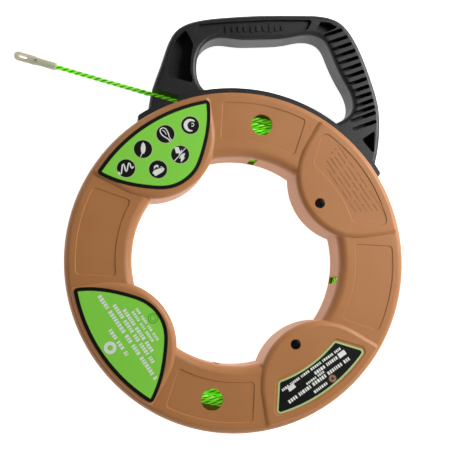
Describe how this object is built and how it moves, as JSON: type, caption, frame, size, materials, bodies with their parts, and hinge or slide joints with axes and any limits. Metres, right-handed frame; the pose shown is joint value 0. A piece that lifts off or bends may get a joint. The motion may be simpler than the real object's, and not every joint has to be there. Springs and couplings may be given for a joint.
{
  "type": "fish tape reel",
  "caption": "Flat ring-shaped reel with a lobed hand hole, a ribbed carrying handle that slides round the rim and a twisted tape ending in an eyed leader.",
  "frame": {"origin": "on the reel axis at the plane the rear lobes rest on", "axes": "+Z along the reel axis out of the front face, +Y towards the carrying handle, +X to the right seen from the front"},
  "size_m": [0.3534, 0.3814, 0.0503],
  "materials": {
    "case_plastic": "fine moulded grain",
    "handle_nylon": "glass-filled, satin",
    "black_steel": "black",
    "plain_steel": "plain",
    "tape_polyester": "smooth twisted strands",
    "leader_nylon": "translucent",
    "pin_nylon": "plain",
    "label_green": "printed film",
    "label_black": "printed film"
  },
  "bodies": {
    "case": {"front_case": "case_plastic", "rear_case": "case_plastic", "case_screws": "black_steel", "tape_coil": "tape_polyester", "tape_anchor": "plain_steel", "anchor_screw": "plain_steel", "label_upper_left": "label_green", "label_lower_left": "label_green", "label_lower_right": "label_black"},
    "handle": {"handle": "handle_nylon"},
    "tape_end": {"tape_lead": "tape_polyester", "tape_tip": "leader_nylon", "tip_pin": "pin_nylon"}
  },
  "joints": [
    {"name": "handle_turn", "type": "hinge", "parent": "case", "child": "handle", "pos_m": [0, 0, 0.025], "axis": [0, 0, 1], "continuous": true},
    {"name": "tape_slide", "type": "slide", "parent": "handle", "child": "tape_end", "axis": [-0.9664, 0.2571, 0], "range_m": [-0.045, 0.06]}
  ]
}
